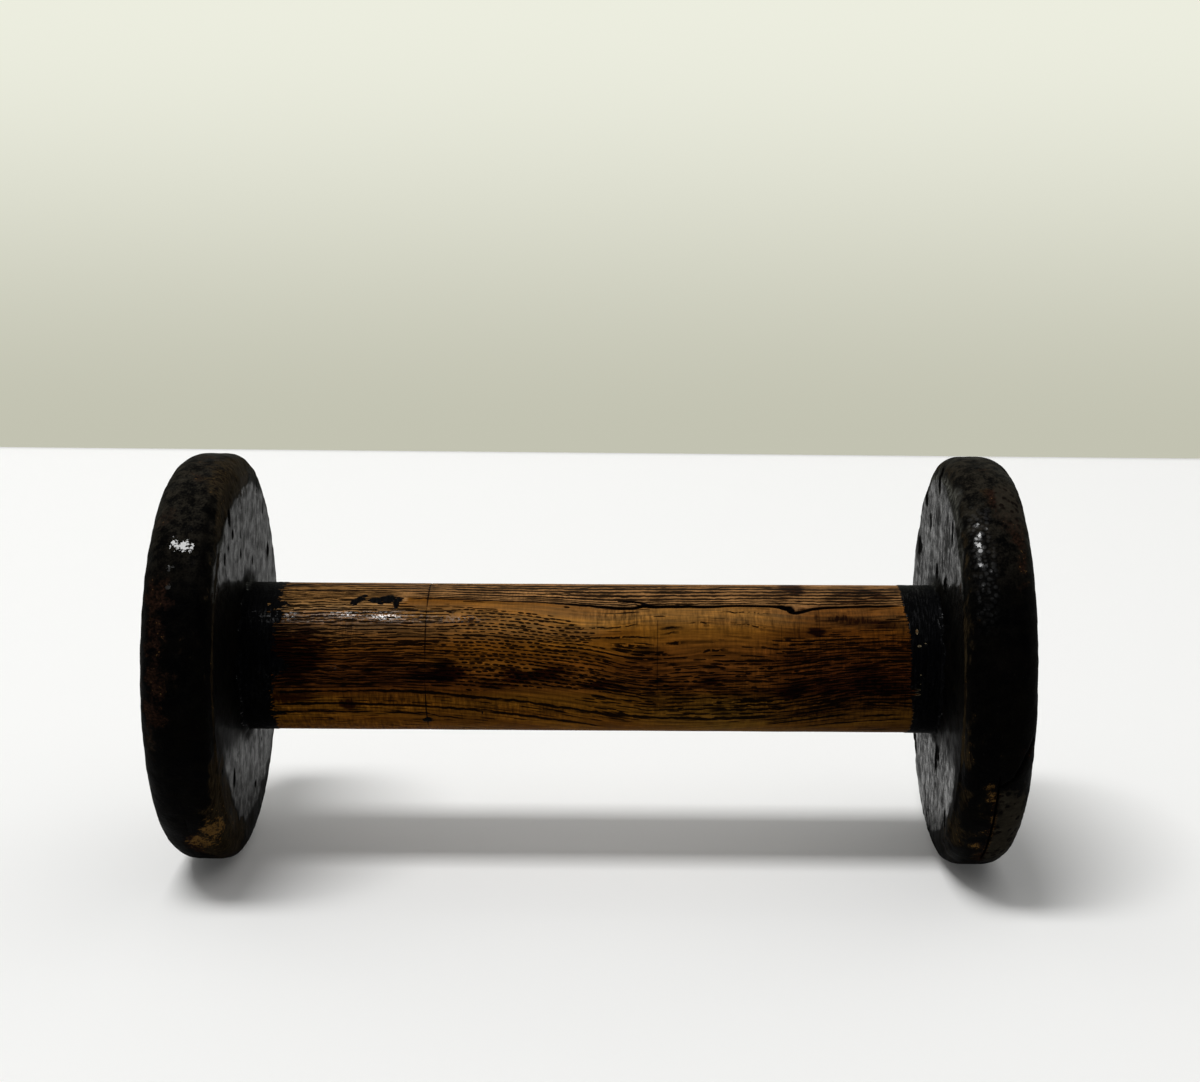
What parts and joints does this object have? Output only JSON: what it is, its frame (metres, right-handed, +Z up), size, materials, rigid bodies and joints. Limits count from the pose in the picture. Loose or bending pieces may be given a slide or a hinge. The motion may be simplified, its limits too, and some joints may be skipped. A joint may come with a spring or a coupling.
{
  "type": "textile mill bobbin",
  "caption": "Turned wooden bobbin: a round barrel with a bushed spindle bore and a thick, round-edged flange on each end, for winding yarn in a textile mill.",
  "frame": {"origin": "on the bore axis, midway between the flanges", "axes": "+X along the bore axis towards the right-hand flange, +Z up, -Y towards the viewer, as the bobbin lies on its flange rims"},
  "size_m": [0.259, 0.127, 0.127],
  "materials": {
    "barrel_wood": "worn, oil-darkened ring-porous hardwood, black paint at the ends",
    "flange_paint": "worn glossy black paint on wood, bare at the edges",
    "wedge_wood": "pale hardwood, end cut flush",
    "bush_steel": "dull, oiled steel",
    "nail_iron": "dark, lightly rusted iron"
  },
  "bodies": {
    "root": {"barrel": "barrel_wood", "left_flange_inner_ply": "flange_paint", "left_flange_outer_ply": "flange_paint", "left_bush": "bush_steel", "left_upper_wedge": "wedge_wood", "left_lower_wedge": "wedge_wood", "left_flange_nails": "nail_iron", "right_flange_inner_ply": "flange_paint", "right_flange_outer_ply": "flange_paint", "right_bush": "bush_steel", "right_upper_wedge": "wedge_wood", "right_lower_wedge": "wedge_wood", "right_flange_nails": "nail_iron"}
  },
  "joints": []
}
